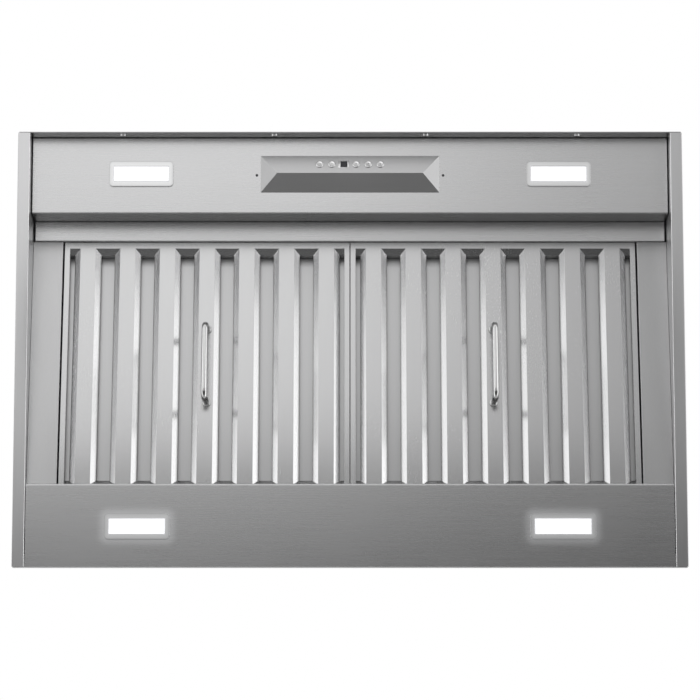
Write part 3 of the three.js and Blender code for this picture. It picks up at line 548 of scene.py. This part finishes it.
def flat_sheet_shading(piece):
    """Broad faces keep their own normal, so that only the eased edges look round."""
    weighing = piece.modifiers.new("weighing", "WEIGHTED_NORMAL")
    weighing.keep_sharp = True
    weighing.weight = 100
    alone(piece)
    bpy.ops.object.modifier_apply(modifier="weighing")


def eased(node, ease, material, segments=2, smooth=40, angle=28):
    """A copy of a solid of the frame with its edges rounded, which stands for it."""
    source = frame["nodes"][node]
    piece = source.copy()
    piece.data = source.data.copy()
    piece.parent = None
    for key in list(piece.keys()):
        del piece[key]
    scene.collection.objects.link(piece)
    piece.matrix_world = Matrix.Identity(4)
    into_edit(piece, "VERT")
    bpy.ops.mesh.select_all(action="SELECT")
    bpy.ops.mesh.remove_doubles(threshold=2e-6)
    bpy.ops.mesh.dissolve_limited(angle_limit=math.radians(0.6))
    bpy.ops.object.mode_set(mode="OBJECT")
    if ease:
        rounding = piece.modifiers.new("rounding", "BEVEL")
        rounding.width = ease
        rounding.segments = segments
        rounding.limit_method = "ANGLE"
        rounding.angle_limit = math.radians(angle)
        alone(piece)
        bpy.ops.object.modifier_apply(modifier="rounding")
    finished(piece, node + "_shown", material, source["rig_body"], smooth)
    flat_sheet_shading(piece)
    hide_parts(node)


# ---- Frames of the sloping parts ----

filter_turn = Matrix.Rotation(-FILTER_SLOPE, 4, "X")
filter_frames = {
    side: Matrix.Translation(FILTER_PIVOT + Vector((sign * FILTER_X, 0, 0))) @ filter_turn
    for side, sign in OUTWARD.items()
}
button_slope = math.atan2(POD_DROP, POD_HALF_DEPTH)
face_centre = Vector((0, POD_Y - POD_HALF_DEPTH / 2, POD_BASE_Z - POD_DROP / 2))
button_frame = Matrix.Translation(face_centre) @ Matrix.Rotation(-button_slope, 4, "X")

# ---- Tray ----

for side in OUTWARD:
    eased(f"{side}_side_panel", 0.3 * MM, STEEL_Y)
    eased(f"{side}_filler_plate", 0.3 * MM, FILLER_STEEL)
for node in ("front_wall", "rear_wall", "front_light_panel"):
    eased(node, 0.3 * MM, STEEL_X)
eased("ledge_strip", 0.3 * MM, LEDGE_STEEL)
eased("rear_light_panel", 0.3 * MM, REAR_PANEL)
for node in ("top_deck", "rear_filter_rail"):
    eased(node, 0.3 * MM, ZINC)

# ---- Filters ----


def bow_handle(side):
    """Round wire bent twice, standing on two flanged feet, with its bar a little outboard of them."""
    front, rear = HANDLE_ENDS
    bend = HANDLE_BEND
    rise = HANDLE_STANDOFF - bend
    first_step = 1 * MM
    bpy.ops.object.select_all(action="DESELECT")
    bpy.ops.mesh.primitive_circle_add(
        vertices=36, radius=HANDLE_WIRE_RADIUS, fill_type="NGON", location=(0, front, -first_step))
    piece = bpy.context.object
    bpy.ops.object.transform_apply(location=True)
    bpy.ops.object.mode_set(mode="EDIT")
    bpy.ops.mesh.select_mode(type="FACE")
    bpy.ops.mesh.select_all(action="SELECT")
    bpy.ops.mesh.extrude_region_move(TRANSFORM_OT_translate={"value": (0, 0, first_step - rise)})
    bpy.ops.mesh.spin(steps=12, angle=math.radians(-90), center=(0, front + bend, -rise), axis=(1, 0, 0))
    bpy.ops.mesh.extrude_region_move(TRANSFORM_OT_translate={"value": (0, rear - front - 2 * bend, 0)})
    bpy.ops.mesh.spin(steps=12, angle=math.radians(-90), center=(0, rear - bend, -rise), axis=(1, 0, 0))
    bpy.ops.mesh.extrude_region_move(TRANSFORM_OT_translate={"value": (0, 0, rise - first_step)})
    bpy.ops.mesh.select_all(action="SELECT")
    bpy.ops.mesh.normals_make_consistent(inside=False)
    bpy.ops.object.mode_set(mode="OBJECT")
    foot_x = -OUTWARD[side] * HANDLE_FEET_INBOARD
    bar_x = OUTWARD[side] * HANDLE_BAR_OUTBOARD
    for vertex in piece.data.vertices:
        share = min(1, -vertex.co.z / HANDLE_STANDOFF)
        vertex.co.x += foot_x + (bar_x - foot_x) * share
    foot_profile = [(4.3, -3.2), (5.0, -2.8), (5.6, -1.7), (5.6, -0.3)]
    foot = turned([(radius * MM, height * MM) for radius, height in foot_profile], 36)
    feet = [copied(foot, Matrix.Translation((foot_x, y, 0))) for y in HANDLE_ENDS]
    bpy.data.objects.remove(foot)
    piece = placed(joined([piece, *feet]), filter_frames[side])
    finished(piece, f"{side}_bow_handle", WIRE, f"{side}_filter", 50)
    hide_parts(f"{side}_filter_handle")


for side in OUTWARD:
    eased(f"{side}_filter_frame", 0.3 * MM, FRAME_STEEL)
    eased(f"{side}_filter_front_baffles", 0.5 * MM, BAFFLE, 3)
    eased(f"{side}_filter_rear_baffles", 0.2 * MM, REAR_BAFFLE)
    eased(f"{side}_filter_clip", 0.2 * MM, WIRE)
    bow_handle(side)

# ---- Lamps ----

for place in LAMPS:
    eased(f"{place}_lamp_body", 0.9 * MM, BEZEL, 3)
    eased(f"{place}_lamp_lens", 0.3 * MM, LENS)

# ---- Control pod ----

eased("pod_cover", 0.7 * MM, POD_STEEL, 3, angle=14)


def push_button(name, x):
    """A round polished button with a flat middle in a raised ring, on its stem."""
    ring = [
        (2.2, -0.95), (2.6, -0.97), (3.0, -1.07), (3.4, -1.22), (3.7, -1.29), (4.0, -1.3),
        (4.3, -1.24), (4.6, -1.09), (4.85, -0.85), (4.97, -0.55), (5.0, -0.2), (5.0, 0.4)]
    flange_and_stem = [(5.0, 1.7), (6.2, 1.7), (6.2, 2.7), (2.0, 2.7), (2.0, 9.0)]
    piece = turned([(radius * MM, height * MM) for radius, height in ring + flange_and_stem], 48)
    placed(piece, button_frame @ Matrix.Translation((x, 0, 0)))
    finished(piece, name + "_shown", BUTTON, name, 40)
    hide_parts(name)


def arc_bar(radius, start, end, steps=14):
    """A flat curved bar of ink round the origin, from one angle to another in degrees."""
    bpy.ops.object.select_all(action="DESELECT")
    bpy.ops.mesh.primitive_plane_add(size=1, location=(radius, 0, 0))
    piece = bpy.context.object
    piece.scale = (MARK_STROKE, 0.01 * MM, 1)
    alone(piece)
    bpy.ops.object.transform_apply(location=True, rotation=True, scale=True)
    into_edit(piece, "EDGE")
    bpy.ops.mesh.select_all(action="DESELECT")
    bpy.ops.object.mode_set(mode="OBJECT")
    for edge in piece.data.edges:
        edge.select = all(piece.data.vertices[i].co.y > 0 for i in edge.vertices)
    for vertex in piece.data.vertices:
        vertex.select = vertex.co.y > 0
    bpy.ops.object.mode_set(mode="EDIT")
    bpy.ops.mesh.spin(steps=steps, angle=math.radians(start - end), center=(0, 0, 0), axis=(0, 0, 1))
    bpy.ops.object.mode_set(mode="OBJECT")
    return placed(piece, Matrix.Rotation(math.radians(start), 4, "Z"))


def flat_bar(x, y, length, across):
    """A short straight bar of ink, along X or along Y."""
    bpy.ops.object.select_all(action="DESELECT")
    bpy.ops.mesh.primitive_plane_add(size=1, location=(x, y, 0))
    piece = bpy.context.object
    piece.scale = (length, MARK_STROKE, 1) if across else (MARK_STROKE, length, 1)
    alone(piece)
    bpy.ops.object.transform_apply(location=True, rotation=True, scale=True)
    return piece


def inked(name, bars):
    """Gives the bars of a mark their thickness and lays the mark on its button."""
    piece = joined(bars)
    into_edit(piece, "FACE")
    bpy.ops.mesh.select_all(action="SELECT")
    bpy.ops.mesh.normals_make_consistent(inside=False)
    bpy.ops.object.mode_set(mode="OBJECT")
    thickness = piece.modifiers.new("thickness", "SOLIDIFY")
    thickness.thickness = MARK_THICKNESS
    thickness.offset = 0
    alone(piece)
    bpy.ops.object.modifier_apply(modifier="thickness")
    on_button = Matrix.Translation((BUTTONS[name], 0, -BUTTON_MIDDLE_PROUD))
    placed(piece, button_frame @ on_button @ Matrix.Rotation(math.pi, 4, "X"))
    finished(piece, f"{name}_mark", INK, name, 30)


def button_marks():
    """Plain marks: a broken ring and bar, minus, plus, a clock and a lamp."""
    ring, bulb, bar = 1.5 * MM, 1.1 * MM, 2.8 * MM
    inked("power_button", [arc_bar(ring, 125, 415), flat_bar(0, 1.1 * MM, 1.6 * MM, False)])
    inked("lower_speed_button", [flat_bar(0, 0, bar, True)])
    uprights = [flat_bar(0, y, 1.15 * MM, False) for y in (0.83 * MM, -0.83 * MM)]
    inked("higher_speed_button", [flat_bar(0, 0, bar, True), *uprights])
    hands = [flat_bar(0, 0.45 * MM, 0.9 * MM, False), flat_bar(0.4 * MM, 0, 0.8 * MM, True)]
    inked("timer_button", [arc_bar(ring, 0, 360, steps=24), *hands])
    cap = [flat_bar(0, y, 1.0 * MM, True) for y in (-1.15 * MM, -1.8 * MM)]
    inked("light_button", [arc_bar(bulb, -50, 230), *cap])


def display_frame():
    """A thin bright frame round the display's window."""
    wide, deep = DISPLAY_FRAME_HALF
    opening = DISPLAY_OPENING_HALF
    plate = slab((-wide, -deep, -0.5 * MM), (wide, deep, -0.02 * MM), 0.15 * MM)
    cutter = slab((-opening, -opening, -1 * MM), (opening, opening, 1 * MM))
    piece = placed(carved(plate, [cutter]), button_frame @ Matrix.Translation((DISPLAY_X, 0, 0)))
    finished(piece, "display_frame", BUTTON, "hood_body")


for name, x in BUTTONS.items():
    push_button(name, x)
button_marks()
eased("display_window", 0.3 * MM, WINDOW)
display_frame()
eased("control_board", 0.0, BOARD)
eased("power_module", 0.8 * MM, BLACK)

# ---- Blower box ----

for node in ("casing_front", "casing_rear", "casing_left", "casing_right", "casing_top", "motor_bracket"):
    eased(node, 0.3 * MM, ZINC)
for node in ("scroll_wrap", "scroll_left_plate", "scroll_right_plate", "impeller"):
    eased(node, 0.0, ZINC, smooth=30)
for node in ("motor_shaft", "damper_pin"):
    eased(node, 0.2 * MM, WIRE)
eased("motor_body", 0.6 * MM, MOTOR)
eased("capacitor", 0.6 * MM, BLACK)
for node in ("duct_collar", "collar_flange"):
    eased(node, 0.0, ZINC)
for node in ("front_damper_flap", "rear_damper_flap"):
    eased(node, 0.2 * MM, ZINC)
for node in ("junction_box", "junction_box_cover"):
    eased(node, 0.5 * MM, ZINC)
eased("cable_gland", 0.6 * MM, BLACK, smooth=30)

# ---- Fasteners ----


def cross_screw(radius, height):
    """A pan head with a cross recess, standing on z = 0."""
    profile = [(1, 0), (1, 0.42), (0.95, 0.66), (0.82, 0.85), (0.6, 0.96), (0.3, 1)]
    head = turned([(share * radius, rise * height) for share, rise in profile], 32)
    length, width = 0.62 * radius, 0.13 * radius
    low, high = 0.4 * height, 1.2 * height
    return carved(head, [
        slab((-length, -width, low), (length, width, high)),
        slab((-width, -length, low), (width, length, high))])


def screws(name, head, matrices, material=WIRE):
    """Copies of one screw head, each at its own place, as one piece."""
    heads = [copied(head, matrix) for matrix in matrices]
    bpy.data.objects.remove(head)
    finished(joined(heads), name, material, "hood_body")


def upright(x, y, z, turn):
    """The place of a screw on a top face, in millimetres, with its cross turned by some degrees."""
    return Matrix.Translation((x * MM, y * MM, z * MM)) @ Matrix.Rotation(math.radians(turn), 4, "Z")


def underside_screws():
    """Screws on the front wall's inner face, and one at each end of the pod."""
    rearward = Matrix.Rotation(math.radians(-90), 4, "X")
    wall_y, wall_z = WALL_SCREWS_Y * MM, WALL_SCREWS_Z * MM
    wall = [Matrix.Translation((x * MM, wall_y, wall_z)) @ rearward for x in WALL_SCREWS_X]
    screws("front_wall_screws", cross_screw(4 * MM, 2.2 * MM), wall)
    downward = Matrix.Rotation(math.radians(180), 4, "X")
    pod = [Matrix.Translation((x * MM, POD_SCREWS_Y * MM, FRONT_PANEL_Z)) @ downward for x in POD_SCREWS_X]
    screws("pod_screws", cross_screw(1.7 * MM, 1.1 * MM), pod, BLACK)


def top_screws():
    """Screws on the blower box and its lid, the collar and the junction box's cover."""
    box = [upright(x, y, FLANGE_TOP, x + y) for x in FLANGE_SCREWS_X for y in FLANGE_SCREWS_Y]
    box += [upright(x, y, FLANGE_TOP, y) for x in FLANGE_END_SCREWS_X for y in FLANGE_END_SCREWS_Y]
    screws("blower_box_screws", cross_screw(3.8 * MM, 2.4 * MM), box)
    lid = [upright(x, y, LID_TOP, x) for x in LID_SCREWS_X for y in LID_SCREWS_Y]
    screws("blower_lid_screws", cross_screw(3.4 * MM, 2.2 * MM), lid)
    corners = [math.radians(45 + 90 * quarter) for quarter in range(4)]
    radius = COLLAR_SCREWS_RADIUS
    collar = [upright(radius * math.cos(a), radius * math.sin(a), COLLAR_FLANGE_TOP, 30) for a in corners]
    screws("collar_screws", cross_screw(3.4 * MM, 2.2 * MM), collar)
    cover = [upright(x, y, JUNCTION_COVER_TOP, 20) for y in JUNCTION_SCREWS_Y for x in JUNCTION_SCREWS_X]
    screws("junction_cover_screws", cross_screw(3 * MM, 2 * MM), cover)


underside_screws()
top_screws()

# ---- Camera, floor and light ----


def photo_camera():
    """Looks up at the mouth of the hood from a little behind it, with the front at the top of the picture."""
    data = bpy.data.cameras.new("camera")
    data.lens = CAMERA_LENS
    data.sensor_width = 36
    data.clip_end = 50
    camera = bpy.data.objects.new("camera", data)
    scene.collection.objects.link(camera)
    level, lean = math.cos(CAMERA_TILT), math.sin(CAMERA_TILT)
    rear, below = CAMERA_PLACE
    camera.matrix_world = Matrix((
        (1, 0, 0, 0),
        (0, -level, lean, rear),
        (0, -lean, -level, below),
        (0, 0, 0, 1)))
    scene.camera = camera


def glow_material(name, colour_of):
    """An emitting material whose colour comes from a function of its finish."""
    finish = Finish(name)
    finish.tree.nodes.remove(finish.shader)
    finish.show(finish.node("ShaderNodeEmission", {}, {"Color": colour_of(finish)}))
    return finish.material


def floor():
    """A pale floor at the rim's height, clear from below, that keeps the hood's shadow.

    Metal inside the rim sees through it.
    """
    bpy.ops.object.select_all(action="DESELECT")
    bpy.ops.mesh.primitive_plane_add(size=60, location=(0, 0, -0.5 * MM))
    plane = bpy.context.object
    plane.name = "floor"
    finish = Finish("pale_floor", {"Base Color": (0.82, 0.82, 0.82, 1), "Roughness": 0.9})
    camera_ray = finish.node("ShaderNodeLightPath", output="Is Camera Ray")
    glossy_ray = finish.node("ShaderNodeLightPath", output="Is Glossy Ray")
    back = finish.node("ShaderNodeNewGeometry", output="Backfacing")
    x, y = finish.axes()
    beyond_rim = (abs(x) - RIM_HALF[0]).most(abs(y) - RIM_HALF[1])
    shown = camera_ray.most(glossy_ray * beyond_rim.over(0.5 * MM)) * (1 - back)
    clear = finish.node("ShaderNodeBsdfTransparent")
    pale = Surface(finish, finish.shader.outputs[0])
    finish.show(finish.node("ShaderNodeMixShader", {}, {0: shown, 1: clear, 2: pale}))
    plane.data.materials.append(finish.material)


def card(name, size, location, towards, colour_of):
    """A studio card that only the metal sees."""
    bpy.ops.object.select_all(action="DESELECT")
    bpy.ops.mesh.primitive_plane_add(size=1)
    plane = bpy.context.object
    plane.name = name
    plane.scale = (*size, 1)
    plane.location = location
    if towards is not None:
        plane.rotation_mode = "QUATERNION"
        plane.rotation_quaternion = (Vector(towards) - Vector(location)).to_track_quat("Z", "Y")
    plane.visible_camera = False
    plane.visible_shadow = False
    plane.visible_diffuse = False
    plane.data.materials.append(glow_material(name, colour_of))


def ramp(finish, value, peak, stops):
    """A level that follows stops of (metres from the card's middle, level) from one side to the other."""
    span = [((place + CARD_HALF) / (2 * CARD_HALF), (*grey(level / peak), 1)) for place, level in stops]
    shade = finish.node("ShaderNodeValToRGB", {"stops": span}, {0: value + 0.5}, output="Color")
    return peak * finish.node("ShaderNodeRGBToBW", {}, {0: shade})


def grey_colour(finish, level):
    """A grey whose level changes over a card."""
    return finish.node("ShaderNodeCombineColor", {}, {0: level, 1: level, 2: level})


def lower_card_colour(finish):
    """What the panels and the filters' faces mirror in the photo's view.

    It's bright below the front, dimmer to the right, and dark behind the rear.
    """
    x, y = finish.axes()
    rearward = finish.eased_share(y, -0.08, 0.02, 0.0, 0.035)
    across = ramp(finish, x + rearward, 1.5, [
        (-2, 0.8), (-1.45, 0.6), (-1.25, 0.6), (-0.9, 0.9), (-0.6, 1.1), (-0.2, 1.12), (0.05, 0.99),
        (0.3, 0.73), (0.7, 0.44), (1.0, 0.7), (1.3, 1.48), (1.55, 1), (2, 0.8)])
    along = ramp(finish, y, 1.5, [
        (-2, 0.6), (-1.65, 0.73), (-1, 1.1), (-0.88, 1.03), (-0.72, 0.93), (-0.55, 1), (-0.45, 0.97),
        (-0.22, 0.98), (-0.08, 0.7), (0.04, 0.35), (0.13, 0.24), (0.28, 0.11), (1.3, 0.07), (1.6, 0.4),
        (2, 0.8)])
    return grey_colour(finish, across * along)


def even(level):
    """One level all over."""
    return lambda finish: (*grey(level), 1)


def wing_colour(below, above):
    """What the grooves' walls mirror: one level in its lower part and another close to the horizon."""
    def colour_of(finish):
        return grey_colour(finish, finish.eased_share(finish.axes("Y")[0], 0.22, 0.32, below, above))
    return colour_of


def softbox(name, location, size, watts):
    """A soft lamp that lights the paint and the plastic, and that no metal mirrors."""
    data = bpy.data.lights.new(name, "AREA")
    data.shape = "RECTANGLE"
    data.size, data.size_y = size
    data.energy = watts
    lamp = bpy.data.objects.new(name, data)
    scene.collection.objects.link(lamp)
    lamp.location = location
    lamp.rotation_mode = "QUATERNION"
    lamp.rotation_quaternion = (LIT_SPOT - Vector(location)).to_track_quat("-Z", "Z")
    lamp.visible_camera = False
    lamp.visible_glossy = False


def studio_world():
    """Even grey light that the camera and the metal see as white."""
    world = bpy.data.worlds.new("studio")
    scene.world = world
    world.use_nodes = True
    studio = Nodes(world.node_tree)
    camera_ray = studio.node("ShaderNodeLightPath", output="Is Camera Ray")
    glossy_ray = studio.node("ShaderNodeLightPath", output="Is Glossy Ray")
    seen = studio.tint(camera_ray.most(glossy_ray), grey(0.6), grey(1))
    studio.feed(studio.tree.nodes["Background"].inputs["Color"], seen)


photo_camera()
floor()
card("lower_card", (4, 4), (0, 0, -1.2), None, lower_card_colour)
card("rear_flag", (4, 2), (0, 2.2, -0.9), (0, 0, 0), even(0.5))
card("wall_flag", (0.94, 0.13), (0, -0.15, -0.6), None, even(0.15))
card("left_wing", (4, 1.18), (-2, 0, -0.6), (0, 0, -0.6), wing_colour(1.45, 2.2))
card("right_wing", (4, 1.18), (2, 0, -0.6), (0, 0, -0.6), wing_colour(1.6, 2.6))
softbox("left_softbox", (-2.2, -0.5, -1.4), (1.6, 1.6), 40)
softbox("right_softbox", (2.2, -0.5, -1.4), (1.6, 1.6), 30)
softbox("upper_softbox", (-1.2, -1.6, 2.6), (2.0, 2.0), 70)
studio_world()
scene.view_settings.view_transform = "Standard"
